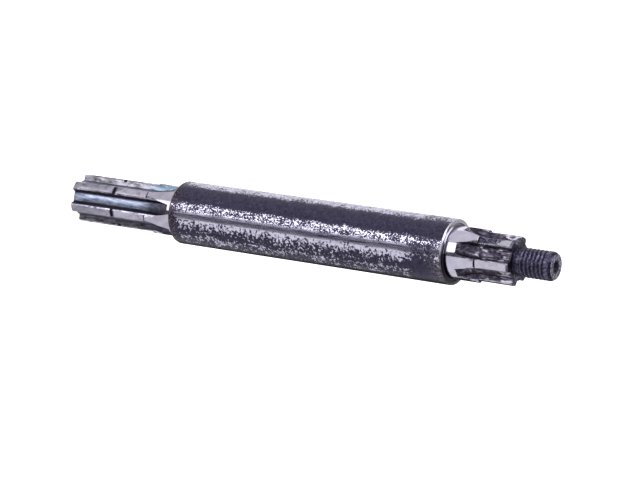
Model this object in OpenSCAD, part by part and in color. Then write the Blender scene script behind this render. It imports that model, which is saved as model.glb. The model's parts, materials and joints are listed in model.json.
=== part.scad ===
// Splined shaft: one piece of steel, turned between centres from round bar and milled at both ends.
// The Z axis runs along the shaft, z = 0 is the end face of the long spline, and a tooth points to +X.

/* [Plain bar] */
// Diameter of the plain bar between the two machined ends
bar_d = 50; // [45:0.5:65]
// Length of the plain bar, from shoulder to shoulder
bar_l = 245.5; // [110:0.5:450]
// Bevel on the bar's edge at the shoulder of the long spline
bar_long_bevel = 1.3; // [0.3:0.1:2]
// Bevel on the bar's edge at the shoulder of the short spline
bar_short_bevel = 0.9; // [0.3:0.1:2]

/* [Long splined end] */
// Diameter of the bearing seat next to the bar
long_seat_d = 40; // [39:0.5:43]
// Length of the bearing seat, from the shoulder to the step
long_seat_l = 27; // [14:0.5:66]
// Length of the seat that the grooves leave whole, next to the shoulder
long_collar_l = 5.5; // [3.5:0.5:10]
// Diameter over the teeth
long_spline_d = 38.2; // [35:0.1:38.6]
// Length of the spline, from the step to the end face
long_spline_l = 74; // [35:0.5:165]
// Diameter at the bottom of the grooves
long_root_d = 29; // [27:0.1:32]
// Number of teeth
long_teeth = 6; // [4:1:8]
// Width of a tooth between its flat sides
long_tooth_w = 7.2; // [5.5:0.1:8.3]
// Bevel along the top edges of a tooth
long_tooth_bevel = 0.7; // [0.2:0.1:1.1]
// Bevel on the teeth at the end face
long_end_bevel = 1.1; // [0.5:0.1:3.3]

/* [Ring groove] */
// Distance from the end face of the long spline to the middle of the ring groove
ring_groove_z = 41; // [22:0.5:55]
// Width of the ring groove
ring_groove_w = 3.1; // [1:0.1:4.5]
// Diameter at the bottom of the ring groove
ring_groove_d = 34.4; // [33:0.1:36.5]

/* [Short splined end] */
// Diameter of the bearing seat next to the bar
short_seat_d = 40; // [38:0.5:42]
// Length of the bearing seat, from the shoulder to the step
short_seat_l = 24.5; // [14:0.5:66]
// Length of the seat that the grooves leave whole, next to the shoulder
short_collar_l = 9.5; // [3.5:0.5:10]
// Diameter over the teeth
short_spline_d = 37; // [33:0.1:37.5]
// Length of the spline, from the step to the thread
short_spline_l = 28; // [17:0.5:90]
// Diameter at the bottom of the grooves
short_root_d = 29; // [26:0.1:31]
// Number of teeth
short_teeth = 6; // [4:1:8]
// Width of a tooth between its flat sides
short_tooth_w = 6.7; // [5:0.1:7.8]
// Bevel along the top edges of a tooth
short_tooth_bevel = 0.6; // [0.2:0.1:1.1]
// Length of the bevel on the teeth beside the thread
short_end_bevel = 1.1; // [0.5:0.1:3.3]
// Turn of this spline against the long one, in degrees
short_turn = -10; // [-30:1:30]

/* [Threaded stud] */
// Diameter over the thread
thread_d = 22; // [18:0.5:24]
// Length of the thread
thread_l = 30; // [11:0.5:66]
// Bevel on the thread's free end
thread_bevel = 2; // [0.5:0.1:3.3]

/* [Milling cutter] */
// Radius of the disc cutter that leaves the curved run-outs of the grooves
cutter_r = 44; // [28:2:66]

/* [Shoulder reliefs] */
// Depth of the relief turned into each shoulder's face
relief_depth = 0.6; // [0.2:0.1:1.1]
// Width of the relief, measured outward from the seat
relief_w = 2; // [1.3:0.1:2.4]
// Radius of the fillet between the relief and the seat
relief_fillet = 1.1; // [0.5:0.1:1.3]
// Width and depth of the nick turned at the foot of each step
step_nick = 0.6; // [0.2:0.1:1.1]

/* [Centre holes] */
// Diameter of the countersink at its mouth
centre_mouth_d = 7.8; // [4.5:0.1:11]
// Diameter of the pilot hole
centre_pilot_d = 3.5; // [2:0.1:4.4]
// Depth of the pilot hole from the end face
centre_depth = 9; // [6:0.5:16]
// Included angle of the countersink
centre_angle = 60; // [60:30:90]

/* [Hidden] */
$fn = 96;
steel = "#8d8a99";

long_l = long_seat_l + long_spline_l;
short_l = short_seat_l + short_spline_l;
lower_shoulder_z = long_l;
upper_shoulder_z = long_l + bar_l;
thread_z = upper_shoulder_z + short_l;
total_l = thread_z + thread_l;

cut_past = 1;
fillet_steps = 8;

// Points of a quarter circle round [x, y], from the angle start to start + turn.
function quarter(x, y, r, start, turn) =
    [for (i = [0:fillet_steps]) let (a = start + turn * i / fillet_steps) [x + r * cos(a), y + r * sin(a)]];

// Half outline of the relief from the face of a shoulder at z to the seat of radius seat_r.
// up is 1 where the seat stands on the shoulder and -1 where it hangs below it.
function relief_points(seat_r, z, up) =
    let (floor_z = z - up * relief_depth, corner = floor_z + up * relief_fillet)
    concat(
        [[seat_r + relief_w, z], [seat_r + relief_w - relief_depth / 2, floor_z]],
        quarter(seat_r + relief_fillet, corner, relief_fillet, -90 * up, -90 * up));

function reversed(list) = [for (i = [len(list) - 1:-1:0]) list[i]];

// Outline of a nick turned at the foot of a step, on the side that dir points to.
function nick_points(r, z, dir) =
    [[r - step_nick / 2, z], [r - step_nick / 2, z + dir * step_nick], [r, z + dir * 1.5 * step_nick]];

// Half outline of the turned blank, from the lower end face up.
function blank_points() = concat(
    [[0, 0], [long_spline_d / 2 - long_end_bevel, 0], [long_spline_d / 2, long_end_bevel]],
    reversed(nick_points(long_spline_d / 2, long_spline_l, -1)),
    [[long_seat_d / 2, long_spline_l]],
    reversed(relief_points(long_seat_d / 2, lower_shoulder_z, -1)),
    [[bar_d / 2 - bar_long_bevel, lower_shoulder_z], [bar_d / 2, lower_shoulder_z + bar_long_bevel]],
    [[bar_d / 2, upper_shoulder_z - bar_short_bevel], [bar_d / 2 - bar_short_bevel, upper_shoulder_z]],
    relief_points(short_seat_d / 2, upper_shoulder_z, 1),
    [[short_seat_d / 2, upper_shoulder_z + short_seat_l]],
    nick_points(short_spline_d / 2, upper_shoulder_z + short_seat_l, 1),
    [[short_spline_d / 2, thread_z - short_end_bevel], [short_spline_d / 2 - short_end_bevel, thread_z]],
    [[thread_d / 2, thread_z], [thread_d / 2, total_l - thread_bevel]],
    [[thread_d / 2 - thread_bevel, total_l], [0, total_l]]);

module blank() {
    rotate_extrude() polygon(blank_points());
}

// Ring that the ring groove takes out of the teeth.
module ring_groove() {
    translate([0, 0, ring_groove_z - ring_groove_w / 2])
        difference() {
            cylinder(d = long_spline_d + 2 * cut_past, h = ring_groove_w);
            translate([0, 0, -cut_past]) cylinder(d = ring_groove_d, h = ring_groove_w + 2 * cut_past);
        }
}

// Centre hole drilled down from z = 0.
module centre_hole() {
    sink = (centre_mouth_d - centre_pilot_d) / 2 / tan(centre_angle / 2);
    translate([0, 0, -centre_depth]) cylinder(d = centre_pilot_d, h = centre_depth + cut_past);
    translate([0, 0, -sink]) cylinder(d1 = centre_pilot_d, d2 = centre_mouth_d, h = sink);
    cylinder(d = centre_mouth_d, h = cut_past);
}

// Section of one groove, along +X: flat sides parallel to the teeth beside it, a floor on the root
// circle, and flares that bevel the tooth tops.
module groove_section(teeth, tooth_w, root_d, spline_d, bevel, reach) {
    half = 180 / teeth;
    function side(r) = let (t = sqrt(r * r - tooth_w * tooth_w / 4))
        [t * cos(half) + tooth_w / 2 * sin(half), t * sin(half) - tooth_w / 2 * cos(half)];
    low = side(root_d / 2 - cut_past);
    top = side(spline_d / 2 - bevel);
    flare_l = 2 * (reach - spline_d / 2 + bevel);
    out = top + flare_l * [cos(half + 45), sin(half + 45)];
    edge = [low, top, out, [reach, out[1]]];
    difference() {
        polygon(concat(edge, [for (p = reversed(edge)) [p[0], -p[1]]]));
        circle(d = root_d);
    }
}

// One groove from below z = 0 to full_z at full depth, then out along the cutter's radius.
module groove(teeth, tooth_w, root_d, spline_d, outer_d, bevel, full_z) {
    reach = outer_d / 2 + cut_past;
    centre_x = root_d / 2 + cutter_r;
    sweep = acos((centre_x - reach) / cutter_r);
    translate([0, 0, -cut_past])
        linear_extrude(full_z + cut_past) groove_section(teeth, tooth_w, root_d, spline_d, bevel, reach);
    translate([centre_x, 0, full_z]) rotate([90, 0, 180])
        rotate_extrude(angle = sweep)
            translate([centre_x, 0]) mirror([1, 0])
                groove_section(teeth, tooth_w, root_d, spline_d, bevel, reach);
}

// All grooves of one splined end of length end_l, with its end face at z = 0 and a tooth on +X.
module grooves(teeth, tooth_w, root_d, spline_d, seat_d, bevel, end_l, collar_l) {
    outer_d = max(seat_d, spline_d);
    rise = (outer_d - root_d) / 2;
    run_out_l = sqrt(2 * cutter_r * rise - rise * rise);
    for (i = [0:teeth - 1])
        rotate(180 / teeth + 360 / teeth * i)
            groove(teeth, tooth_w, root_d, spline_d, outer_d, bevel, end_l - collar_l - run_out_l);
}

module shaft() {
    color(steel) difference() {
        blank();
        grooves(long_teeth, long_tooth_w, long_root_d, long_spline_d, long_seat_d, long_tooth_bevel,
            long_l, long_collar_l);
        translate([0, 0, thread_z]) mirror([0, 0, 1]) rotate(short_turn)
            grooves(short_teeth, short_tooth_w, short_root_d, short_spline_d, short_seat_d,
                short_tooth_bevel, short_l, short_collar_l);
        ring_groove();
        mirror([0, 0, 1]) centre_hole();
        translate([0, 0, total_l]) centre_hole();
    }
}

shaft();
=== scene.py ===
import json
import math
from dataclasses import dataclass

import bpy
import numpy as np
from mathutils import Matrix, Vector


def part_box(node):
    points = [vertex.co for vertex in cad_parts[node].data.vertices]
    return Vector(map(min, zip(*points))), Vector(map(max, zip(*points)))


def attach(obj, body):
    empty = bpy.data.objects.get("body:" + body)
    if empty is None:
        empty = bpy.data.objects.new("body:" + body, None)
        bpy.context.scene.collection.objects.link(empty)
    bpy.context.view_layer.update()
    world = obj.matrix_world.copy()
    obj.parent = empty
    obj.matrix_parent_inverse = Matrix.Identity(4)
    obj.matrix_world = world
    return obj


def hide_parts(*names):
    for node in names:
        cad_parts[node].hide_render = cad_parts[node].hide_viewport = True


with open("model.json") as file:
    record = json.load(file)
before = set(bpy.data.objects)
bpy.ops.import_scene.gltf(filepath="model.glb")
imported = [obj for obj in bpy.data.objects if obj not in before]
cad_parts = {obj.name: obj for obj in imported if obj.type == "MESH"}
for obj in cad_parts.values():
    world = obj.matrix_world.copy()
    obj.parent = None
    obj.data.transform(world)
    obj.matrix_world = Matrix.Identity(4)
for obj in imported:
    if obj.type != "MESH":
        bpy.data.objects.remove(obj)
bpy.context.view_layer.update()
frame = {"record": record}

# Looks of the splined shaft: one detailed mesh with its thread, and a finish for each worked surface.
# The mesh is made in millimetres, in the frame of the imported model, and is scaled to metres at the end.

MM = 0.001

# ---------------------------------------------------------------- sizes

mounts = {mount["name"]: mount for mount in frame["record"]["mounts"]}
lowest, highest = (Vector(corner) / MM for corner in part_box("shaft"))

BAR_R = round((highest.x - lowest.x) / 2, 1)
TOTAL_L = round(highest.z, 2)
SEAT_R = mounts["long_seat"]["dims"]["r_mm"]
THREAD_R = mounts["thread"]["dims"]["r_mm"]
LOWER_SHOULDER_Z = mounts["long_shoulder"]["pos_m"][2] / MM
UPPER_SHOULDER_Z = mounts["short_shoulder"]["pos_m"][2] / MM

CUTTER_R = 44.0          # disc cutter that leaves the curved run-outs
STEP_NICK = 0.6          # nick turned at the foot of each step
EDGE_BREAK = 0.15        # edge of the seat taken off at each step
RELIEF_DEPTH = 0.6       # relief turned into each shoulder's face
RELIEF_W = 2.0
RELIEF_FILLET = 1.1
LOWER_BAR_BEVEL = 1.3
UPPER_BAR_BEVEL = 0.9
LONG_SPLINE_L = 74.0     # lengths of the splines, and of the seat beside the short one
SHORT_SPLINE_L = 28.0
SHORT_SEAT_L = 24.5
RING_GROOVE_Z = 41.0     # snap ring groove across the long spline
RING_GROOVE_W = 3.1
RING_GROOVE_R = 17.2
CENTRE_MOUTH_R = 3.9     # centre holes
CENTRE_PILOT_R = 1.75
CENTRE_DEPTH = 9.0
CENTRE_SINK = (CENTRE_MOUTH_R - CENTRE_PILOT_R) / math.tan(math.radians(30))

THREAD_Z = UPPER_SHOULDER_Z + SHORT_SEAT_L + SHORT_SPLINE_L
THREAD_PITCH = 3.3
THREAD_DEPTH = 0.8
THREAD_SHIFT = 0.64      # where along the stud the ridges fall
THREAD_FADE_IN = 2.0     # length over which the ridges rise after the neck
THREAD_FADE_OUT = 1.5    # length over which they sink again
THREAD_PLAIN_L = 5.0     # length without ridges at the free end
THREAD_BEVEL_L = 3.0
THREAD_BEVEL = 1.5
NECK_L = 4.2             # plain neck between the spline and the thread
NECK_R = 10.7
NECK_FADE = 1.0          # length over which the neck widens to the thread
NECK_FOOT = 0.5          # bevel at the neck's foot


@dataclass
class SplinedEnd:
    """One splined end. Distances called d run from its end face towards the bar."""
    end_z: float         # height of the end face
    up: int              # 1 where the bar is above the end face, -1 where it is below
    name: str            # start of the names of its regions
    shoulder: str        # region of the shoulder beside it
    turn: float          # direction of the first tooth, in degrees
    tooth_w: float
    root_r: float
    spline_r: float
    bevel: float         # along the tops of the teeth
    end_bevel: float
    spline_l: float
    seat_l: float
    collar_l: float      # length of the seat that the grooves leave whole
    teeth: int = 6

    def z(self, d):
        return self.end_z + self.up * d

    @property
    def length(self):
        return self.spline_l + self.seat_l

    @property
    def full_l(self):
        """Length over which the grooves have their full depth."""
        rise = SEAT_R - self.root_r
        return self.length - self.collar_l - math.sqrt(2 * CUTTER_R * rise - rise * rise)

    @property
    def fillet_d(self):
        """Distance at which the seat ends and the fillet to the relief starts."""
        return self.length - RELIEF_FILLET + RELIEF_DEPTH


long_end = SplinedEnd(end_z=0, up=1, name="long", shoulder="lower_shoulder", turn=0, tooth_w=7.2,
                      root_r=14.5, spline_r=19.1, bevel=0.7, end_bevel=1.1,
                      spline_l=LONG_SPLINE_L, seat_l=LOWER_SHOULDER_Z - LONG_SPLINE_L, collar_l=5.5)
short_end = SplinedEnd(end_z=THREAD_Z, up=-1, name="short", shoulder="upper_shoulder", turn=-10, tooth_w=6.7,
                       root_r=14.5, spline_r=18.5, bevel=0.6, end_bevel=1.1,
                       spline_l=SHORT_SPLINE_L, seat_l=SHORT_SEAT_L, collar_l=9.5)

# ---------------------------------------------------------------- grid of the mesh

# Vertices of half a tooth pitch, counted from the middle of a tooth to the middle of a groove.
LAND = 5                 # index of the tooth's edge
FLARE = 7                # index of the flare's foot
CORNER = 11              # index of the corner between flank and floor
HALF = 16                # index of the groove's middle
PITCH = 2 * HALF
COLUMNS = PITCH * long_end.teeth

# Spacing of the rings along the shaft, and the radii of those on the end faces.
FIRST_ROW = 3.0          # distance of the first ring on the teeth from the end face
LONG_ROW = 2.0
SHORT_ROW = 1.5
SEAT_ROW = 0.75
THREAD_ROW = 0.28
BAR_ROWS = 110
BAR_BLEND = 0.06         # share of the bar over which the vertices change to an even spacing
LONG_FACE_ROWS = (6.5, 9.5, 12.5)
SHORT_FACE_ROWS = (13.2, 12.2, NECK_R + NECK_FOOT)
THREAD_FACE_ROWS = (THREAD_R - THREAD_BEVEL - 0.25, 8.0, 6.0)
ARC = np.radians([30, 60, 90])       # steps round a bevelled edge or a fillet

FLANK_POINTS = 40        # points that sample a flank and a flare before they are cut into vertices
FLARE_POINTS = 60
FLARE_L = 6.0
MERGE_DIGITS = 4         # digits of a millimetre within which vertices are one
UPRIGHT = 0.02           # largest slope of a face that belongs to a cylinder

# Regions of the surface, which are also its material slots.
REGIONS = ["bar", "lower_shoulder", "upper_shoulder", "relief", "root", "long_seat", "short_seat", "long_land",
           "short_land", "long_bevel", "short_bevel", "long_flank", "short_flank", "long_floor", "short_floor",
           "long_end_face", "short_end_face", "thread", "thread_end", "centre_hole"]
TURNED = ["bar", "long_seat", "short_seat", "long_land", "short_land"]


def groove_profile(end):
    """Flank and flare of a groove in the groove's own frame, from the root corner outward."""
    half = math.radians(180 / end.teeth)

    def side(r):
        along = np.sqrt(r * r - end.tooth_w ** 2 / 4)
        across = end.tooth_w / 2
        return np.stack([along * np.cos(half) + across * np.sin(half),
                         along * np.sin(half) - across * np.cos(half)], axis=-1)

    flank = side(np.linspace(end.root_r, end.spline_r - end.bevel, FLANK_POINTS))
    flare_dir = np.array([math.cos(half + math.pi / 4), math.sin(half + math.pi / 4)])
    flare = flank[-1] + np.linspace(0.05, FLARE_L, FLARE_POINTS)[:, None] * flare_dir
    return np.concatenate([flank, flare])


def lift(points, end, d):
    """Moves groove points outward as the cutter rises, at distance d from the end face."""
    u = max(0.0, d - end.full_l)
    centre_x = end.root_r + CUTTER_R
    arm = centre_x - points[:, 0]
    lifted = points.copy()
    lifted[:, 0] = centre_x - np.sqrt(np.maximum(arm * arm - u * u, 0))
    return lifted


def flank_radii(end):
    """Radii of the vertices between a flank's corner and its flare."""
    return [(end.root_r + RING_GROOVE_R) / 2, RING_GROOVE_R, (RING_GROOVE_R + end.spline_r - end.bevel) / 2]


def half_pitch(end, d, r_env):
    """Angles from the tooth's middle, in radians, and radii of the vertices of half a pitch.

    r_env is the radius of the turned blank at distance d, which cuts the groove's sides off.
    """
    half = math.pi / end.teeth
    profile = groove_profile(end)
    corner_t = math.atan2(profile[0, 1], profile[0, 0])
    t = np.linspace(corner_t, 0, HALF - CORNER + 1)
    floor = lift(np.stack([end.root_r * np.cos(t), end.root_r * np.sin(t)], axis=-1), end, d)
    side = lift(profile, end, d)
    flare_r = math.hypot(*side[FLANK_POINTS - 1])
    side_r = np.maximum.accumulate(np.hypot(side[:, 0], side[:, 1]))
    side_a = half - np.arctan2(side[:, 1], side[:, 0])
    corner_r = side_r[0]

    step_r = end.spline_r - STEP_NICK / 2
    breaks = [corner_r] + [max(corner_r, r) for r in flank_radii(end)]
    breaks += [min(flare_r, step_r) if d == end.spline_l else flare_r, max(flare_r, step_r)]
    breaks = np.minimum(np.maximum.accumulate(breaks + [r_env]), r_env)
    side_angles = np.interp(breaks, side_r, side_a) if corner_r < r_env else np.full(len(breaks), side_a[0])
    if r_env == RING_GROOVE_R:
        # The vertices left over lie along the ring groove's floor, so that none of its walls' faces is empty.
        spare = np.count_nonzero(breaks == r_env) - 1
        side_angles[-1 - spare:] = side_angles[-1] * np.linspace(1, LAND / (LAND + spare), spare + 1)
    land_angles = np.linspace(0, side_angles[-1], LAND + 1)
    floor_r = np.minimum(np.hypot(floor[:, 0], floor[:, 1]), r_env)
    floor_a = half - np.arctan2(floor[:, 1], floor[:, 0])

    angles = np.concatenate([land_angles[:-1], side_angles[::-1], floor_a[1:]])
    radii = np.concatenate([np.full(LAND, r_env), breaks[::-1], floor_r[1:]])
    return angles, radii


def whole_ring(angles, radii, first, teeth):
    """Repeats half a pitch around the shaft, starting at the direction first in radians."""
    pitch = 2 * math.pi / teeth
    one_a = np.concatenate([angles, pitch - angles[-2:0:-1]])
    one_r = np.concatenate([radii, radii[-2:0:-1]])
    a = np.concatenate([one_a + i * pitch for i in range(teeth)]) + first
    return a, np.tile(one_r, teeth)


class Grid:
    """Rings of COLUMNS vertices from the lower centre hole to the upper one, joined into one closed mesh."""

    def __init__(self):
        self.rings = []      # (angles, radii, heights)
        self.bands = []      # region name of the band that ends at each ring

    def ring(self, region, angles, radii, z):
        z = np.broadcast_to(np.asarray(z, float), angles.shape)
        radii = np.broadcast_to(np.asarray(radii, float), angles.shape)
        self.rings.append((angles, radii.copy(), z.copy()))
        self.bands.append(region)

    def spline_ring(self, region, end, d, r_env):
        angles, radii = whole_ring(*half_pitch(end, d, r_env), math.radians(end.turn), end.teeth)
        self.ring(region, angles, radii, end.z(d))


def even_angles(turn):
    """Directions of evenly spaced vertices, in radians, starting at turn in degrees."""
    return math.radians(turn) + np.arange(COLUMNS) * 2 * math.pi / COLUMNS


def centre_hole(grid, end_z, up, turn):
    """Rings of a centre hole whose mouth is at end_z. up is 1 for the lower hole and -1 for the upper one."""
    a = even_angles(turn)
    rings = [(CENTRE_PILOT_R * 0.5, CENTRE_DEPTH), (CENTRE_PILOT_R, CENTRE_DEPTH),
             (CENTRE_PILOT_R, (CENTRE_DEPTH + CENTRE_SINK) / 2), (CENTRE_PILOT_R, CENTRE_SINK),
             ((CENTRE_PILOT_R + CENTRE_MOUTH_R) / 2, CENTRE_SINK / 2), (CENTRE_MOUTH_R, 0)]
    for r, depth in rings if up > 0 else rings[::-1]:
        region = "centre_hole" if up > 0 or depth else "thread_end"
        grid.ring(region, a, r, end_z + up * depth)


def rows_between(start, stop, spacing):
    """Distances of evenly spaced rings, which leave half a spacing or more before stop."""
    return np.arange(start, stop - spacing / 2, spacing)


def end_envelope(end):
    """(d, radius, region) along a splined end, from its end face to the relief at the shoulder."""
    step_r = end.spline_r - STEP_NICK / 2
    land, seat = end.name + "_land", end.name + "_seat"
    rows = [(0, end.spline_r - end.end_bevel, end.name + "_end_face")]
    rows += [(end.end_bevel * (1 - math.cos(a)), end.spline_r - end.end_bevel * (1 - math.sin(a)), land)
             for a in ARC]
    foot = end.spline_l - 1.5 * STEP_NICK
    if end is long_end:
        g0, g1 = RING_GROOVE_Z - RING_GROOVE_W / 2, RING_GROOVE_Z + RING_GROOVE_W / 2
        rows += [(d, end.spline_r, land) for d in rows_between(FIRST_ROW, g0, LONG_ROW)]
        rows += [(g0, end.spline_r, land), (g0, RING_GROOVE_R, "relief"), (g1, RING_GROOVE_R, "relief"),
                 (g1, end.spline_r, "relief")]
        rows += [(d, end.spline_r, land) for d in rows_between(g1 + LONG_ROW, foot, LONG_ROW)]
    else:
        rows += [(d, end.spline_r, land) for d in rows_between(FIRST_ROW, foot, SHORT_ROW)]
    rows += [(foot, end.spline_r, land), (end.spline_l - STEP_NICK, step_r, "relief"),
             (end.spline_l, step_r, "relief"), (end.spline_l, SEAT_R - EDGE_BREAK, "relief"),
             (end.spline_l + EDGE_BREAK, SEAT_R, seat)]
    rows += [(d, SEAT_R, seat) for d in rows_between(end.spline_l + 1, end.fillet_d, SEAT_ROW)]
    rows += [(end.fillet_d, SEAT_R, seat)]
    return rows


def relief_rows(end):
    """(d, radius, region) from the seat's fillet, through the relief, to the bar's bevel."""
    rows = [(end.fillet_d + RELIEF_FILLET * math.sin(a), SEAT_R + RELIEF_FILLET * (1 - math.cos(a)), "root")
            for a in ARC]
    outer = SEAT_R + RELIEF_W
    rows += [(end.length + RELIEF_DEPTH, outer - RELIEF_DEPTH / 2, "relief"), (end.length, outer, "relief")]
    bevel = LOWER_BAR_BEVEL if end is long_end else UPPER_BAR_BEVEL
    rows += [(end.length, BAR_R - bevel, end.shoulder)]
    rows += [(end.length + bevel * (1 - math.cos(a)), BAR_R - bevel * (1 - math.sin(a)), end.shoulder)
             for a in ARC]
    return rows


def thread_radius(angles, z):
    """Radius of the threaded stud. The ridges rise after the neck and sink before the bevelled free end."""
    phase = (z + THREAD_SHIFT) / THREAD_PITCH - angles / (2 * math.pi)
    ridge = np.clip(0.5 + 0.75 * np.cos(2 * math.pi * phase), 0, 1)
    past_neck = z - THREAD_Z - NECK_L
    rise = np.clip(past_neck / THREAD_FADE_IN, 0, 1)
    sink = np.clip((TOTAL_L - THREAD_PLAIN_L - z) / THREAD_FADE_OUT, 0, 1)
    stud = NECK_R + (THREAD_R - NECK_R) * np.clip(past_neck / NECK_FADE, 0, 1)
    r = np.minimum(stud, THREAD_R) - THREAD_DEPTH * rise * sink * (1 - ridge)
    in_bevel = np.clip((z - (TOTAL_L - THREAD_BEVEL_L)) / THREAD_BEVEL_L, 0, 1)
    return np.minimum(r, THREAD_R - THREAD_BEVEL * in_bevel ** 1.5)


def build_grid():
    """Grid of the whole shaft, from the lower centre hole up."""
    grid = Grid()
    centre_hole(grid, 0, 1, long_end.turn)
    for r in LONG_FACE_ROWS:
        grid.ring("long_end_face", even_angles(long_end.turn), r, 0)
    for d, r, region in end_envelope(long_end):
        grid.spline_ring(region, long_end, d, r)
    collar, _, _ = grid.rings[-1]
    for d, r, region in relief_rows(long_end):
        grid.ring(region, collar, r, long_end.z(d))

    upper = half_pitch(short_end, short_end.length, SEAT_R)
    upper_collar, _ = whole_ring(*upper, math.radians(short_end.turn), short_end.teeth)
    first, last = LOWER_SHOULDER_Z + LOWER_BAR_BEVEL, UPPER_SHOULDER_Z - UPPER_BAR_BEVEL
    for x in np.linspace(0, 1, BAR_ROWS + 1)[1:-1]:
        even = even_angles(long_end.turn + (short_end.turn - long_end.turn) * x)
        evenness = np.clip(min(x, 1 - x) / BAR_BLEND, 0, 1)
        side = collar if x < 0.5 else upper_collar
        grid.ring("bar", side * (1 - evenness) + even * evenness, BAR_R, first + (last - first) * x)

    top_rows = relief_rows(short_end)[::-1]
    regions = ["bar"] + [row[2] for row in top_rows[:-1]]
    for (d, r, _), region in zip(top_rows, regions):
        grid.ring(region, upper_collar, r, short_end.z(d))
    spline_rows = end_envelope(short_end)[::-1]
    regions = ["short_seat"] + [row[2] for row in spline_rows[:-1]]
    for (d, r, _), region in zip(spline_rows, regions):
        grid.spline_ring(region, short_end, d, r)

    a = even_angles(short_end.turn)
    for r in SHORT_FACE_ROWS:
        grid.ring("short_end_face", a, r, THREAD_Z)
    grid.ring("short_end_face", a, NECK_R, THREAD_Z + NECK_FOOT)
    for z in np.arange(THREAD_Z + 1.0, TOTAL_L - 0.1, THREAD_ROW):
        grid.ring("thread", a, thread_radius(a, z), z)
    grid.ring("thread", a, THREAD_R - THREAD_BEVEL - 0.05, TOTAL_L - 0.03)      # the rim, just off sharp
    for r in THREAD_FACE_ROWS:
        grid.ring("thread_end", a, r, TOTAL_L)
    centre_hole(grid, TOTAL_L, -1, short_end.turn)
    return grid


def grid_mesh(grid):
    """Vertices, quads, the region of each quad, and its smoothing group."""
    rows = len(grid.rings)
    a = np.array([ring[0] for ring in grid.rings])
    r = np.array([ring[1] for ring in grid.rings])
    z = np.array([ring[2] for ring in grid.rings])
    points = np.stack([r * np.cos(a), r * np.sin(a), z], axis=-1).reshape(-1, 3)
    column = np.arange(COLUMNS)
    following = (column + 1) % COLUMNS
    step = column % PITCH
    place = np.minimum(step, PITCH - 1 - step)          # which part of the half pitch a face belongs to

    quads, regions, groups = [], [], []
    for i in range(1, rows):
        region = grid.bands[i]
        quad = np.stack([(i - 1) * COLUMNS + column, (i - 1) * COLUMNS + following,
                         i * COLUMNS + following, i * COLUMNS + column], axis=-1)
        kind = np.full(COLUMNS, REGIONS.index(region))
        if region.endswith(("_land", "_seat")) or region == "relief":
            end_name = "long" if z[i].max() < (LOWER_SHOULDER_Z + UPPER_SHOULDER_Z) / 2 else "short"
            envelope = np.minimum(r[i - 1].max(), r[i].max())
            middle = (r[i] + np.roll(r[i], -1) + r[i - 1] + np.roll(r[i - 1], -1)) / 4
            cut = (place >= LAND) & (middle < envelope - 0.01)
            for part, start, stop in (("_bevel", LAND, FLARE), ("_flank", FLARE, CORNER), ("_floor", CORNER, HALF)):
                kind[cut & (place >= start) & (place < stop)] = REGIONS.index(end_name + part)
        quads.append(quad)
        regions.append(kind)
        # Each band of a relief is smoothed by itself, so that its corners stay sharp.
        groups.append(np.where(kind == REGIONS.index("relief"), len(REGIONS) + i, kind))
    quads = np.concatenate(quads)
    regions = np.concatenate(regions)
    groups = np.concatenate(groups)
    return points, quads, regions, groups


def closed_mesh(name, points, quads, regions, groups):
    """Merges vertices that coincide, drops faces that vanish, caps both ends and sets the normals."""
    keys = np.round(points, MERGE_DIGITS)
    unique, index = np.unique(keys, axis=0, return_inverse=True)
    index = index.reshape(-1)
    coords = np.zeros_like(unique)
    coords[index] = points
    faces, kinds, smooth = [], [], []
    for quad, kind, group in zip(index[quads], regions, groups):
        face = [v for n, v in enumerate(quad) if v != quad[n - 1]]
        if len(set(face)) >= 3:
            faces.append(face)
            kinds.append(kind)
            smooth.append(group)
    hole = REGIONS.index("centre_hole")
    for ring, order in ((index[:COLUMNS], -1), (index[-COLUMNS:], 1)):
        faces.append(list(ring[::order]))
        kinds.append(hole)
        smooth.append(hole)
    mesh = bpy.data.meshes.new(name)
    mesh.from_pydata((coords * MM).tolist(), [], faces)
    mesh.polygons.foreach_set("material_index", np.array(kinds, dtype=np.int32))
    mesh.update()
    set_normals(mesh, np.array(smooth))
    return mesh


def set_normals(mesh, groups):
    """Smooth within a group of faces, sharp between groups, and exactly radial on turned cylinders."""
    count = len(mesh.polygons)
    normals = np.zeros(count * 3)
    mesh.polygons.foreach_get("normal", normals)
    normals = normals.reshape(-1, 3)
    areas = np.zeros(count)
    mesh.polygons.foreach_get("area", areas)
    totals = np.zeros(count, dtype=np.int32)
    mesh.polygons.foreach_get("loop_total", totals)
    loops = np.zeros(len(mesh.loops), dtype=np.int32)
    mesh.loops.foreach_get("vertex_index", loops)
    face_of = np.repeat(np.arange(count), totals)
    coords = np.zeros(len(mesh.vertices) * 3)
    mesh.vertices.foreach_get("co", coords)
    coords = coords.reshape(-1, 3)

    key = loops.astype(np.int64) * (groups.max() + 1) + groups[face_of]
    unique, index = np.unique(key, return_inverse=True)
    summed = np.zeros((len(unique), 3))
    np.add.at(summed, index, normals[face_of] * areas[face_of, None])
    smooth = summed[index]
    turned = np.isin(groups, [REGIONS.index(name) for name in TURNED])
    turned &= np.abs(normals[:, 2]) < UPRIGHT
    radial = coords[loops].copy()
    radial[:, 2] = 0
    smooth = np.where(turned[face_of, None], radial, smooth)
    length = np.linalg.norm(smooth, axis=1, keepdims=True)
    smooth = np.where(length > 0, smooth / np.maximum(length, 1e-12), normals[face_of])
    mesh.polygons.foreach_set("use_smooth", np.ones(count, dtype=bool))
    mesh.normals_split_custom_set(smooth.tolist())


# ---------------------------------------------------------------- materials

def srgb(r, g, b):
    """Linear colour from 0-255 values as they are seen."""
    return tuple(((c / 255 + 0.055) / 1.055) ** 2.4 if c > 10 else c / 255 / 12.92 for c in (r, g, b)) + (1.0,)


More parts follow.
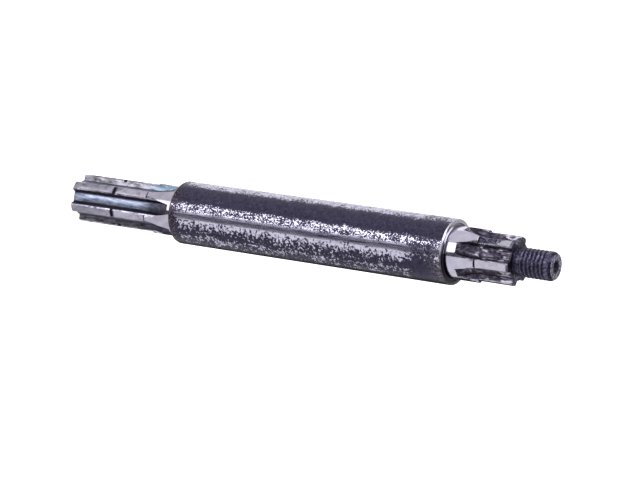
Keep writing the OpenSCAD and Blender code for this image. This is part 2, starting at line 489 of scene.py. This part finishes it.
class Nodes:
    """Short names for the shader nodes used below."""

    def __init__(self, name):
        self.material = bpy.data.materials.new(name)
        self.material.use_nodes = True
        self.tree = self.material.node_tree
        self.bsdf = self.tree.nodes["Principled BSDF"]

    def link(self, value, socket):
        if isinstance(value, bpy.types.NodeSocket):
            self.tree.links.new(value, socket)
        else:
            socket.default_value = value

    def math(self, operation, a, b=0.0, c=0.0, clamp=False):
        node = self.tree.nodes.new("ShaderNodeMath")
        node.operation = operation
        node.use_clamp = clamp
        self.link(a, node.inputs[0])
        self.link(b, node.inputs[1])
        self.link(c, node.inputs[2])
        return node.outputs[0]

    def coords(self):
        return self.tree.nodes.new("ShaderNodeTexCoord").outputs["Object"]

    def separate(self, vector):
        node = self.tree.nodes.new("ShaderNodeSeparateXYZ")
        self.link(vector, node.inputs[0])
        return node.outputs

    def stretch(self, vector, x, y, z):
        node = self.tree.nodes.new("ShaderNodeMapping")
        self.link(vector, node.inputs["Vector"])
        node.inputs["Scale"].default_value = (x, y, z)
        return node.outputs[0]

    def noise(self, vector, scale, detail=4.0, rough=0.55, distortion=0.0):
        node = self.tree.nodes.new("ShaderNodeTexNoise")
        self.link(vector, node.inputs["Vector"])
        node.inputs["Scale"].default_value = scale
        node.inputs["Detail"].default_value = detail
        node.inputs["Roughness"].default_value = rough
        node.inputs["Distortion"].default_value = distortion
        return node.outputs["Fac"]

    def ramp(self, value, *stops):
        """Colour or grey ramp. Each stop is (place, grey) or (place, colour)."""
        node = self.tree.nodes.new("ShaderNodeValToRGB")
        self.link(value, node.inputs[0])
        elements = node.color_ramp.elements
        while len(elements) < len(stops):
            elements.new(0.5)
        for element, (place, colour) in zip(elements, sorted(stops, key=lambda s: s[0])):
            element.position = place
            element.color = colour if isinstance(colour, tuple) else (colour, colour, colour, 1)
        return node.outputs["Color"]

    def mix(self, factor, a, b, blend="MIX"):
        node = self.tree.nodes.new("ShaderNodeMix")
        node.data_type = "RGBA"
        node.blend_type = blend
        self.link(factor, node.inputs["Factor"])
        self.link(a, node.inputs["A"])
        self.link(b, node.inputs["B"])
        return node.outputs["Result"]

    def bump(self, height, strength, distance):
        node = self.tree.nodes.new("ShaderNodeBump")
        self.link(height, node.inputs["Height"])
        node.inputs["Strength"].default_value = strength
        node.inputs["Distance"].default_value = distance
        return node.outputs["Normal"]

    def surface(self, colour, roughness, metallic=1.0, normal=None, specular=0.5):
        self.link(colour, self.bsdf.inputs["Base Color"])
        self.link(roughness, self.bsdf.inputs["Roughness"])
        self.link(metallic, self.bsdf.inputs["Metallic"])
        self.bsdf.inputs["Specular IOR Level"].default_value = specular
        if normal is not None:
            self.link(normal, self.bsdf.inputs["Normal"])


FRONT = -86.4            # direction of the shaft's front, in degrees: the side with the painted dark reflection stripe along it


def around(nodes, point):
    """Direction around the shaft, from 0 to 1 for -180 to 180 degrees from the front, clockwise from above."""
    x, y, _ = nodes.separate(point)[:3]
    turn = nodes.math("MULTIPLY", nodes.math("ARCTAN2", y, x), -0.5 / math.pi)
    return nodes.math("FRACT", nodes.math("ADD", turn, (180 + FRONT) / 360 + 1))


def by_degrees(nodes, turn, *stops):
    """Ramp whose stops are given in degrees from the front."""
    return nodes.ramp(turn, *[((place + 180) / 360, value) for place, value in stops])


def by_height(nodes, point, *stops):
    """Ramp whose stops are given as heights in millimetres."""
    low, span = stops[0][0], stops[-1][0] - stops[0][0]
    z = nodes.math("MULTIPLY_ADD", nodes.separate(point)[2], 1 / (span * MM), -low / span)
    return nodes.ramp(z, *[((place - low) / span, value) for place, value in stops])


def radius(nodes, point):
    """Distance from the axis, in metres."""
    x, y, _ = nodes.separate(point)[:3]
    return nodes.math("SQRT", nodes.math("ADD", nodes.math("MULTIPLY", x, x), nodes.math("MULTIPLY", y, y)))


def by_radius(nodes, point, inner, outer):
    """0 up to the radius inner and 1 from the radius outer, both in millimetres."""
    span = outer - inner
    return nodes.math("MULTIPLY_ADD", radius(nodes, point), 1 / (span * MM), -inner / span, clamp=True)


def in_groove(nodes, point, end):
    """0 at the middle of a groove to 1 at the middle of a tooth."""
    x, y, _ = nodes.separate(point)[:3]
    turn = nodes.math("MULTIPLY", nodes.math("ARCTAN2", y, x), end.teeth / (2 * math.pi))
    part = nodes.math("FRACT", nodes.math("ADD", turn, end.teeth * (1 - end.turn / 360)))
    return nodes.math("ABSOLUTE", nodes.math("MULTIPLY_ADD", part, 2.0, -1.0))


def bar_finish(nodes, point):
    """Rolled bar: dark mill scale, worn through to bright steel in long ragged bands and many specks, with painted
    light and shade around it, a painted dark reflection stripe and painted shade underneath.
    """
    wander = nodes.noise(nodes.stretch(point, 1, 1, 0.5), 160, 5, 0.65)
    turn = nodes.math("MULTIPLY_ADD", wander, 0.05, nodes.math("SUBTRACT", around(nodes, point), 0.025))
    worn = by_degrees(
        nodes, turn, (-180, 0.50), (-150, 0.60), (-120, 0.5), (-95, 0.64), (-77, 0.62), (-66, 0.53), (-54, 0.55),
        (-42, 0.53), (-35, 0.60), (-27, 0.575), (-19, 0.525), (-14, 0.465), (-9, 0.43), (-5, 0.36), (2, 0.38),
        (6, 0.49), (11, 0.525), (15, 0.49), (20, 0.54), (25, 0.72), (50, 0.74), (57, 0.62), (62, 0.505), (67, 0.46),
        (74, 0.455), (84, 0.42), (90, 0.42), (120, 0.55), (150, 0.62), (180, 0.50))
    end = by_height(nodes, point, (100, 0.30), (105, 0.26), (108, 0.12), (111, 0.03), (118, 0.0), (316, 0.0),
                    (324, 0.14), (339, 0.17), (342, 0.05), (345, 0.05), (347, 0.1))
    end = nodes.math("MULTIPLY", end, by_degrees(
        nodes, turn, (-180, 1.0), (6, 0.9), (13, 0.15), (20, 0.15), (26, 1.0), (56, 1.0), (62, 0.5), (90, 0.5),
        (180, 1.0)))
    drips = nodes.math(
        "MULTIPLY", by_height(nodes, point, (100, 1.0), (150, 0.8), (230, 0.2), (330, 0.0)),
        by_degrees(nodes, turn, (-180, 0.0), (-20, 0.0), (-14, 0.02), (-9, 0.035), (-7, 0.0), (180, 0.0)))
    end = nodes.math("ADD", end, drips)
    fine = nodes.noise(nodes.stretch(point, 1, 1, 0.7), 1000, 2, 0.7)
    coarse = nodes.noise(nodes.stretch(point, 0.9, 0.9, 1), 520, 4, 0.7)
    patch = nodes.noise(point, 130, 3, 0.6)
    clumped = by_degrees(nodes, turn, (-180, 0.85), (-12, 0.85), (-4, 0.4), (0, 0.2), (60, 0.3), (180, 0.8))
    speck = nodes.math("MULTIPLY_ADD", patch, 0.3, nodes.math("SUBTRACT", nodes.mix(clumped, fine, coarse), 0.15))
    gap = nodes.math("SUBTRACT", speck, nodes.math("ADD", worn, end))
    bare = nodes.math("MULTIPLY_ADD", gap, 60.0, 0.5, clamp=True)
    streak = nodes.ramp(nodes.noise(nodes.stretch(point, 1, 1, 0.05), 1000, 3, 0.7), (0.42, 0.0), (0.58, 1.0))
    scale = nodes.mix(nodes.ramp(coarse, (0.32, 0.0), (0.68, 1.0)), srgb(50, 47, 65), srgb(84, 81, 105))
    # painted shade: the mill scale is darkened on the sides where the bright reflections fall
    painted_glare_shade = by_degrees(nodes, turn, (-180, 0.0), (-72, 0.1), (-60, 0.3), (-25, 0.3), (-12, 0.1), (0, 0.1), (8, 0.5),
                       (26, 0.45), (34, 0.0), (180, 0.0))
    scale = nodes.mix(painted_glare_shade, scale, srgb(26, 24, 36))
    rust = nodes.ramp(fine, (0.4, srgb(48, 42, 54)), (0.54, srgb(68, 60, 74)), (0.66, srgb(140, 130, 142)))
    scale = nodes.mix(by_height(nodes, point, (101, 1.0), (106, 0.9), (111, 0.0)), scale, rust)
    smudge = nodes.math("MULTIPLY", by_height(nodes, point, (332, 0.0), (341, 0.5), (346, 1.0)),
                        by_degrees(nodes, turn, (-180, 0.0), (-72, 0.2), (-62, 1.0), (-8, 1.0), (0, 0.0), (180, 0.0)))
    smudge = nodes.math("MULTIPLY", smudge, nodes.ramp(fine, (0.5, 0.0), (0.58, 0.8)))
    scale = nodes.mix(smudge, scale, srgb(150, 140, 150))
    # painted light and shade: the bare steel is made lighter or darker by its direction around the shaft
    painted_light_tone = by_degrees(nodes, turn, (-180, 0.5), (-76, 0.3), (-64, 0.52), (-50, 0.6), (-38, 0.8), (-16, 1.0), (-8, 1.0),
                      (0, 0.9), (8, 0.86), (11, 0.84), (15, 1.0), (56, 0.6), (66, 0.66), (72, 0.5), (90, 0.5),
                      (180, 0.5))
    # painted reflection: a dark stripe painted along the front of the bare steel
    painted_reflection_line = by_degrees(nodes, around(nodes, point), (-180, 1.0), (-9, 1.0), (-6.5, 0.3), (-4.5, 0.3), (-2.5, 0.04),
                      (-1, 0.05), (1.5, 0.08), (3.5, 0.14), (5.5, 0.5), (7.5, 1.0), (180, 1.0))
    blurred = by_degrees(nodes, around(nodes, point), (-180, 0.2), (-24, 0.2), (-15, 0.13), (-9.5, 0.13),
                         (-6.5, 0.26), (3, 0.27), (7, 0.2), (180, 0.2))
    painted_light_tone = nodes.math("MULTIPLY", painted_light_tone, painted_reflection_line)
    steel = nodes.mix(nodes.math("MULTIPLY_ADD", streak, 0.34, nodes.math("MULTIPLY", painted_light_tone, 0.8), clamp=True),
                      srgb(66, 63, 88), srgb(221, 218, 240))
    # painted shade along the underside of the bar, darkest towards the lower edge
    shade = by_degrees(nodes, turn, (-180, 0.0), (-112, 0.0), (-95, 0.7), (-80, 0.75), (-71, 0.0), (180, 0.0))
    colour = nodes.mix(shade, nodes.mix(bare, scale, steel), srgb(28, 26, 40))
    nodes.surface(colour, nodes.mix(bare, (0.34, 0.34, 0.34, 1), blurred), normal=nodes.bump(bare, 0.3, 0.0004))


def seat_finish(nodes, point, dark=(196, 192, 213), light=(214, 210, 229)):
    """Ground bearing seat: bright, with faint grinding lines around it."""
    lines = nodes.noise(nodes.stretch(point, 0.15, 0.15, 3), 900, 2)
    cloud = nodes.noise(point, 160, 4)
    colour = nodes.mix(nodes.ramp(cloud, (0.35, 0.0), (0.7, 1.0)), srgb(*dark), srgb(*light))
    # painted shade: a dark band at the foot of the seat beside the upper shoulder, on one side
    dirt_and_shade = nodes.math(
        "MULTIPLY", by_height(nodes, point, (345, 0.0), (346, 1.0), (348.3, 1.0), (349.6, 0.0), (371, 0.0)),
        by_degrees(nodes, around(nodes, point), (-180, 0.0), (-100, 0.9), (-4, 0.9), (0, 0.0), (180, 0.0)))
    colour = nodes.mix(dirt_and_shade, colour, srgb(40, 36, 48))
    nodes.surface(colour, nodes.ramp(cloud, (0.3, 0.08), (0.8, 0.16)), normal=nodes.bump(lines, 0.06, 0.0002))


def long_seat_finish(nodes, point):
    """As the short seat, but a little duller."""
    seat_finish(nodes, point, (176, 172, 190), (200, 195, 212))


def root_finish(nodes, point):
    """Fillet at a shoulder: painted shade in the corner, with a painted highlight on one side."""
    turn = around(nodes, point)
    # painted highlight on one side of the fillet, painted shade on the rest
    clean_and_painted_light = by_degrees(nodes, turn, (-180, 0.15), (-100, 0.0), (16, 0.0), (24, 1.0), (58, 1.0), (68, 0.2), (180, 0.15))
    nodes.surface(nodes.mix(clean_and_painted_light, srgb(52, 48, 62), srgb(244, 242, 248)), 0.3,
                  metallic=nodes.math("MULTIPLY_ADD", clean_and_painted_light, -0.9, 1.0))


def relief_finish(nodes, point):
    """Turned reliefs, nicks and the ring groove: dark, with a painted highlight on one side of the upper shoulder's
    relief.
    """
    turn = around(nodes, point)
    cloud = nodes.noise(point, 700, 3)
    dark = nodes.ramp(cloud, (0.35, srgb(34, 30, 42)), (0.7, srgb(60, 56, 72)))
    # painted highlight on one side, only in the relief at the upper shoulder
    clean_and_painted_light = by_degrees(nodes, turn, (-180, 0.2), (-100, 0.0), (20, 0.0), (35, 0.5), (75, 0.6), (110, 0.2), (180, 0.2))
    clean_and_painted_light = nodes.math("MULTIPLY", clean_and_painted_light, by_height(nodes, point, (330, 0.0), (331, 1.0), (360, 1.0), (361, 0.0)))
    nodes.surface(nodes.mix(clean_and_painted_light, dark, srgb(186, 182, 198)), 0.55, metallic=0.3)


def lower_shoulder_finish(nodes, point):
    """Turned face and bevel, browned, with a few bright specks."""
    cloud = nodes.noise(point, 400, 5, 0.65)
    colour = nodes.ramp(cloud, (0.35, srgb(50, 42, 54)), (0.55, srgb(76, 65, 78)), (0.68, srgb(158, 146, 158)))
    nodes.surface(colour, 0.4)


def upper_shoulder_finish(nodes, point):
    """Turned face and bevel: a painted highlight on one side, soiled and darkened by painted shade on the other."""
    cloud = nodes.noise(point, 500, 5, 0.65)
    turn = around(nodes, point)
    # painted highlight on one side of the face and bevel
    clean_and_painted_light = by_degrees(nodes, turn, (-180, 0.5), (-60, 0.0), (-8, 0.02), (4, 0.9), (12, 1.0), (58, 1.0), (70, 0.8),
                       (120, 0.8), (180, 0.5))
    rim = by_radius(nodes, point, 22.8, 24.4)
    worn = nodes.ramp(cloud, (0.35, srgb(62, 54, 64)), (0.6, srgb(128, 120, 132)))
    # painted shade on the lower side, mixed into the soiled colour
    under = by_degrees(nodes, turn, (-180, 0.0), (-100, 0.5), (-75, 0.8), (-50, 0.0), (180, 0.0))
    dirty_and_shaded = nodes.mix(under, nodes.mix(rim, srgb(30, 26, 36), worn), srgb(34, 31, 42))
    # colours of the painted highlight, greyer on the inner face over part of the way round
    bright = nodes.ramp(cloud, (0.3, srgb(196, 192, 206)), (0.6, srgb(232, 229, 240)))
    edge = nodes.math("MAXIMUM", by_radius(nodes, point, 23.4, 24.2),
                      by_degrees(nodes, turn, (-180, 1.0), (-60, 0.0), (50, 0.0), (66, 0.8), (180, 1.0)))
    bright = nodes.mix(edge, srgb(130, 126, 138), bright)
    nodes.surface(nodes.mix(clean_and_painted_light, dirty_and_shaded, bright), 0.28)


def long_land_finish(nodes, point):
    """Ground tops of the teeth, stained and lightly rusted on one side."""
    turn = around(nodes, point)
    cloud = nodes.noise(nodes.stretch(point, 1, 1, 0.5), 300, 6, 0.7)
    stained = by_degrees(nodes, turn, (-180, 0.7), (-100, 0.4), (-40, 0.1), (0, 0.2), (20, 0.5), (60, 0.7), (110, 1.0),
                         (180, 0.7))
    clean_and_painted_light = nodes.ramp(cloud, (0.32, srgb(150, 144, 164)), (0.5, srgb(188, 182, 202)), (0.7, srgb(206, 200, 218)))
    stain = nodes.ramp(cloud, (0.34, srgb(96, 92, 100)), (0.44, srgb(150, 148, 150)), (0.5, srgb(182, 177, 193)),
                       (0.7, srgb(204, 199, 214)))
    edge = by_height(nodes, point, (0, 0.62), (3, 0.5), (14, 0.42), (32, 0.22), (38.4, 0.1), (39.3, 0.7), (42.8, 0.7),
                     (43.6, 0.0), (72.0, 0.0), (72.7, 1.0), (74.4, 1.0), (75.2, 0.0), (101, 0.0))
    lines = nodes.noise(nodes.stretch(point, 1, 1, 0.04), 900, 2)
    colour = nodes.mix(edge, nodes.mix(stained, clean_and_painted_light, stain), srgb(62, 56, 68))
    nodes.surface(colour, nodes.ramp(cloud, (0.3, 0.4), (0.7, 0.24)), normal=nodes.bump(lines, 0.08, 0.0002))


def long_floor_finish(nodes, point):
    """Milled floors of the long grooves: bluish steel in fine streaks, with painted shade along the corners and on
    some sides, darker in the run-outs and in spots.
    """
    turn = around(nodes, point)
    streak = nodes.noise(nodes.stretch(point, 1, 1, 0.16), 1000, 5, 0.75)
    blotch = nodes.noise(nodes.stretch(point, 1, 1, 0.3), 460, 5, 0.72)
    steel = nodes.ramp(streak, (0.34, srgb(98, 103, 128)), (0.48, srgb(140, 148, 175)), (0.64, srgb(180, 188, 210)))
    dark = nodes.ramp(blotch, (0.35, srgb(40, 38, 50)), (0.65, srgb(78, 76, 92)))
    # painted shade along the corners beside the flanks
    corner = nodes.ramp(in_groove(nodes, point, long_end), (0.3, 0.0), (0.46, 1.0))
    runout = by_height(nodes, point, (56, 0.0), (68, 0.2), (77, 0.95), (101, 1.0))
    # painted shade on the grooves of some sides, by direction around the shaft
    side = by_degrees(nodes, turn, (-180, 0.3), (-70, 0.65), (-35, 0.65), (-12, 0.0), (20, 0.0), (45, 0.45),
                      (90, 0.45), (180, 0.3))
    spots = nodes.ramp(blotch, (0.38, 0.55), (0.5, 0.0))
    # dark spots, painted shade and the darker run-outs together
    grime_and_shade = nodes.math("MAXIMUM", nodes.math("MAXIMUM", corner, runout), nodes.math("MAXIMUM", side, spots))
    nodes.surface(nodes.mix(grime_and_shade, steel, dark), nodes.ramp(grime_and_shade, (0.0, 0.3), (1.0, 0.42)),
                  normal=nodes.bump(streak, 0.3, 0.0004))


def long_flank_finish(nodes, point):
    """Milled sides of the long teeth: mottled steel with painted shade on one side and painted light on the other,
    bluish in the run-outs.
    """
    turn = around(nodes, point)
    blotch = nodes.noise(nodes.stretch(point, 1, 1, 0.3), 340, 6, 0.72)
    # painted light and shade: the flanks are dark on one side of the shaft and light on the other
    clean_and_painted_light = by_degrees(nodes, turn, (-180, 0.4), (-90, 0.35), (-60, 0.35), (-30, 0.0), (50, 0.0), (66, 0.85),
                       (100, 0.85), (130, 0.4), (180, 0.4))
    dark = nodes.ramp(blotch, (0.3, srgb(28, 25, 36)), (0.7, srgb(56, 52, 68)))
    light = nodes.ramp(blotch, (0.36, srgb(60, 58, 64)), (0.46, srgb(132, 130, 138)), (0.58, srgb(190, 186, 200)))
    blue = nodes.mix(by_degrees(nodes, turn, (-180, 0.0), (-5, 0.0), (5, 1.0), (180, 1.0)),
                     nodes.ramp(blotch, (0.36, srgb(52, 54, 78)), (0.6, srgb(118, 124, 152))),
                     nodes.ramp(blotch, (0.36, srgb(64, 82, 102)), (0.6, srgb(156, 180, 204))))
    light = nodes.mix(by_height(nodes, point, (60, 0.0), (74, 0.8), (92, 0.9), (101, 0.4)), light, blue)
    nodes.surface(nodes.mix(clean_and_painted_light, dark, light), 0.34, normal=nodes.bump(blotch, 0.2, 0.0004))


def tooth_bevel_finish(nodes, point):
    """Bevels along the teeth: bright in streaks, rubbed steel with a painted highlight along the edges."""
    streak = nodes.noise(nodes.stretch(point, 1, 1, 0.3), 500, 4, 0.7)
    # the brightest streaks are painted highlight along the bevelled edges, the darker ones rubbed steel
    colour = nodes.ramp(streak, (0.36, srgb(66, 62, 78)), (0.5, srgb(160, 155, 174)), (0.62, srgb(220, 216, 230)))
    nodes.surface(colour, 0.3)


def short_land_finish(nodes, point):
    """Tops of the short teeth: bright, but one stays black and mottled next to the seat."""
    turn = around(nodes, point)
    blotch = nodes.noise(nodes.stretch(point, 1, 1, 0.6), 420, 6, 0.75)
    grit = nodes.noise(point, 700, 4, 0.7)
    side = by_degrees(nodes, turn, (-180, 0.5), (-60, 0.0), (10, 0.0), (30, 1.0), (60, 1.0), (110, 0.6), (180, 0.5))
    start = by_height(nodes, point, (368, 0.8), (371, 0.9), (382, 0.75), (391, 0.2), (395, 0.0), (399, 0.3))
    tip = by_height(nodes, point, (371, 0.0), (396.8, 0.0), (397.6, 0.85), (399, 1.0))
    black = nodes.math("MULTIPLY_ADD", nodes.math("MULTIPLY", side, start), 0.5, blotch)
    mask = nodes.ramp(black, (0.66, 0.0), (0.74, 1.0))
    clean_and_painted_light = nodes.ramp(blotch, (0.3, srgb(184, 180, 198)), (0.6, srgb(210, 206, 224)))
    dark = nodes.ramp(grit, (0.36, srgb(40, 38, 56)), (0.52, srgb(80, 78, 102)), (0.66, srgb(150, 147, 170)))
    mask = nodes.math("MAXIMUM", mask, tip)
    nodes.surface(nodes.mix(mask, clean_and_painted_light, dark), nodes.ramp(mask, (0.0, 0.16), (1.0, 0.4)))


def short_groove_finish(nodes, point):
    """Short grooves: black with old grease, scratched bright here and there."""
    scratch = nodes.noise(nodes.stretch(point, 1, 1, 0.3), 300, 5, 0.65, 0.6)
    blotch = nodes.noise(nodes.stretch(point, 1, 1, 0.6), 380, 5, 0.7)
    dark = nodes.ramp(blotch, (0.35, srgb(34, 31, 44)), (0.52, srgb(64, 60, 76)), (0.66, srgb(112, 106, 116)))
    rubbed = by_height(nodes, point, (355, 0.0), (372, 0.0), (378, 0.03), (386, 0.01), (390, 0.1), (397, 0.1),
                       (399, 0.0))
    bright = nodes.ramp(nodes.math("ADD", scratch, rubbed), (0.56, 0.0), (0.64, 1.0))
    nodes.surface(nodes.mix(bright, dark, srgb(176, 170, 186)), nodes.ramp(scratch, (0.4, 0.45), (0.62, 0.26)),
                  normal=nodes.bump(blotch, 0.6, 0.0006))


def oily_finish(nodes, point):
    """Face between the short teeth and the neck: dark and oily, with small painted glints."""
    grit = nodes.noise(point, 600, 5, 0.7)
    blotch = nodes.noise(point, 300, 4, 0.65)
    dark = nodes.ramp(blotch, (0.35, srgb(38, 36, 53)), (0.55, srgb(66, 63, 83)), (0.68, srgb(108, 104, 124)))
    # painted glints: bright specks painted into the colour
    painted_glint = nodes.ramp(grit, (0.6, 0.0), (0.67, 1.0))
    nodes.surface(nodes.mix(painted_glint, dark, srgb(196, 192, 212)), nodes.ramp(grit, (0.35, 0.45), (0.6, 0.2)),
                  normal=nodes.bump(grit, 0.5, 0.0006))


def thread_finish(nodes, point):
    """Thread: dark, darker in its grooves and a little brighter on its ridges."""
    crest = by_radius(nodes, point, THREAD_R - THREAD_DEPTH, THREAD_R)
    grit = nodes.noise(point, 640, 4, 0.72)
    ridge_colour = nodes.ramp(grit, (0.38, srgb(56, 53, 73)), (0.5, srgb(80, 77, 99)), (0.62, srgb(122, 118, 140)))
    groove_colour = nodes.ramp(grit, (0.35, srgb(27, 24, 41)), (0.5, srgb(38, 35, 54)), (0.64, srgb(78, 74, 97)))
    # darker towards the roots of the grooves and lighter towards the crests
    nodes.surface(nodes.mix(nodes.ramp(crest, (0.15, 0.0), (0.8, 1.0)), groove_colour, ridge_colour),
                  nodes.ramp(grit, (0.35, 0.5), (0.6, 0.34)), normal=nodes.bump(grit, 0.35, 0.0004))


def thread_end_finish(nodes, point):
    """End face of the thread: rubbed, mottled steel, dirty around the centre hole."""
    grit = nodes.noise(point, 560, 4, 0.7)
    steel = nodes.ramp(grit, (0.38, srgb(52, 49, 70)), (0.5, srgb(104, 100, 124)), (0.61, srgb(200, 196, 214)))
    ragged = nodes.math("MULTIPLY_ADD", nodes.noise(point, 330, 3), 2.4 * MM, radius(nodes, point))
    clean_and_painted_light = nodes.ramp(nodes.math("MULTIPLY", ragged, 0.1 / MM), (0.56, 0.0), (0.62, 1.0))     # 5.6 to 6.2 mm
    nodes.surface(nodes.mix(clean_and_painted_light, srgb(34, 31, 48), steel), 0.34, normal=nodes.bump(grit, 0.5, 0.0006))


def hole_finish(nodes, point):
    """Centre holes: full of dark dirt."""
    dirt_and_shade = nodes.ramp(nodes.noise(point, 520, 4, 0.7), (0.42, srgb(20, 16, 32)), (0.6, srgb(48, 44, 64)),
                      (0.68, srgb(140, 136, 156)))
    nodes.surface(dirt_and_shade, 0.6, metallic=0.2, specular=0.2)


FINISHES = {
    "bar": bar_finish, "lower_shoulder": lower_shoulder_finish, "upper_shoulder": upper_shoulder_finish,
    "relief": relief_finish, "root": root_finish, "long_seat": long_seat_finish, "short_seat": seat_finish,
    "long_land": long_land_finish, "short_land": short_land_finish, "long_bevel": tooth_bevel_finish,
    "short_bevel": tooth_bevel_finish, "long_flank": long_flank_finish, "short_flank": short_groove_finish,
    "long_floor": long_floor_finish, "short_floor": short_groove_finish, "long_end_face": long_land_finish,
    "short_end_face": oily_finish, "thread": thread_finish, "thread_end": thread_end_finish,
    "centre_hole": hole_finish}


def make_finish(region):
    nodes = Nodes(region)
    FINISHES[region](nodes, nodes.coords())
    return nodes.material


# ---------------------------------------------------------------- stage

CAMERA_AIM = Vector((0.006, 0.0, 0.228))
CAMERA_AZIMUTH = -90.8       # direction from the shaft to the camera, in degrees
CAMERA_ELEVATION = 31.1
CAMERA_DISTANCE = 1.843
CAMERA_ROLL = 98.5           # the shaft stands upright and lies across the picture
CAMERA_LENS = 135.0
FLOOR_SIZE = 40.0
CARD_NEAR, CARD_FAR = 0.026, 4.0     # radii between which the cards lie
CARD_HEIGHT = 0.0006                 # how far they lie above the floor
CARD_STEPS = 24
# Where each card starts and ends, in degrees from the front, and how bright it is.
CARDS = {"card_line": (-17, 1, 0.1), "card_box": (2, 41, 2.2), "card_upper": (42, 112, 0.8),
         "card_front": (-124, -18, 0.85), "card_low": (-192, -125, 0.03)}


def add_camera():
    azimuth, elevation = math.radians(CAMERA_AZIMUTH), math.radians(CAMERA_ELEVATION)
    back = Vector((math.cos(elevation) * math.cos(azimuth), math.cos(elevation) * math.sin(azimuth),
                   math.sin(elevation)))
    right = Vector((0, 0, 1)).cross(back).normalized()
    up = back.cross(right)
    roll = math.radians(CAMERA_ROLL)
    right, up = (right * math.cos(roll) + up * math.sin(roll), up * math.cos(roll) - right * math.sin(roll))
    data = bpy.data.cameras.new("camera")
    data.lens = CAMERA_LENS
    data.sensor_width = 36
    data.clip_end = 50
    camera = bpy.data.objects.new("camera", data)
    place = Matrix((right, up, back)).transposed().to_4x4()
    place.translation = CAMERA_AIM + back * CAMERA_DISTANCE
    camera.matrix_world = place
    bpy.context.collection.objects.link(camera)
    bpy.context.scene.camera = camera


def add_floor():
    """Pale paper under the shaft, white to the camera and half as bright in reflections."""
    mesh = bpy.data.meshes.new("floor")
    s = FLOOR_SIZE / 2
    mesh.from_pydata([(-s, -s, 0), (s, -s, 0), (s, s, 0), (-s, s, 0)], [], [(0, 1, 2, 3)])
    floor = bpy.data.objects.new("floor", mesh)
    bpy.context.collection.objects.link(floor)
    nodes = Nodes("floor_paper")
    nodes.surface((0.9, 0.9, 0.9, 1), 0.9, metallic=0.0, specular=0.0)
    tree = nodes.tree
    path = tree.nodes.new("ShaderNodeLightPath")
    emission = tree.nodes.new("ShaderNodeEmission")
    mirrored = nodes.math("MULTIPLY", path.outputs["Is Glossy Ray"], 0.45)
    nodes.link(nodes.math("MULTIPLY_ADD", path.outputs["Is Camera Ray"], 0.9, mirrored), emission.inputs["Strength"])
    add = tree.nodes.new("ShaderNodeAddShader")
    tree.links.new(nodes.bsdf.outputs[0], add.inputs[0])
    tree.links.new(emission.outputs[0], add.inputs[1])
    tree.links.new(add.outputs[0], tree.nodes["Material Output"].inputs["Surface"])
    mesh.materials.append(nodes.material)


def add_card(name, start, end, level):
    """Sheet laid on the floor around the shaft, seen only in reflections. Directions are from the front."""
    angles = [math.radians(FRONT - start - (end - start) * i / CARD_STEPS) for i in range(CARD_STEPS + 1)]
    corners = [(r * math.cos(a), r * math.sin(a), CARD_HEIGHT) for a in angles for r in (CARD_NEAR, CARD_FAR)]
    mesh = bpy.data.meshes.new(name)
    mesh.from_pydata(corners, [], [(2 * i, 2 * i + 1, 2 * i + 3, 2 * i + 2) for i in range(CARD_STEPS)])
    card = bpy.data.objects.new(name, mesh)
    bpy.context.collection.objects.link(card)
    card.visible_camera = card.visible_diffuse = card.visible_shadow = card.visible_transmission = False
    material = bpy.data.materials.new(name)
    material.use_nodes = True
    tree = material.node_tree
    tree.nodes.clear()
    emission = tree.nodes.new("ShaderNodeEmission")
    emission.inputs["Color"].default_value = (1, 1, 1, 1)
    emission.inputs["Strength"].default_value = level
    output = tree.nodes.new("ShaderNodeOutputMaterial")
    tree.links.new(emission.outputs[0], output.inputs["Surface"])
    mesh.materials.append(material)


def add_lamp(name, place, target, size, power):
    data = bpy.data.lights.new(name, "AREA")
    data.shape = "DISK"
    data.size = size
    data.energy = power
    lamp = bpy.data.objects.new(name, data)
    lamp.location = place
    lamp.rotation_euler = (Vector(target) - Vector(place)).to_track_quat("-Z", "Y").to_euler()
    bpy.context.collection.objects.link(lamp)


def add_world():
    world = bpy.data.worlds.new("studio")
    world.use_nodes = True
    background = world.node_tree.nodes["Background"]
    background.inputs["Color"].default_value = (1, 1, 1, 1)
    background.inputs["Strength"].default_value = 0.6
    bpy.context.scene.world = world


# ---------------------------------------------------------------- scene

add_camera()
add_floor()
add_world()
for name, card in CARDS.items():
    add_card(name, *card)
add_lamp("key", (-1.01, -0.47, 1.35), (0, 0, 0.35), 1.0, 12)

shaft = bpy.data.objects.new("shaft_body", closed_mesh("shaft_body", *grid_mesh(build_grid())))
bpy.context.collection.objects.link(shaft)
for region in REGIONS:
    shaft.data.materials.append(make_finish(region))
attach(shaft, "root")
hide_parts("shaft")

bpy.context.scene.view_settings.view_transform = "Standard"
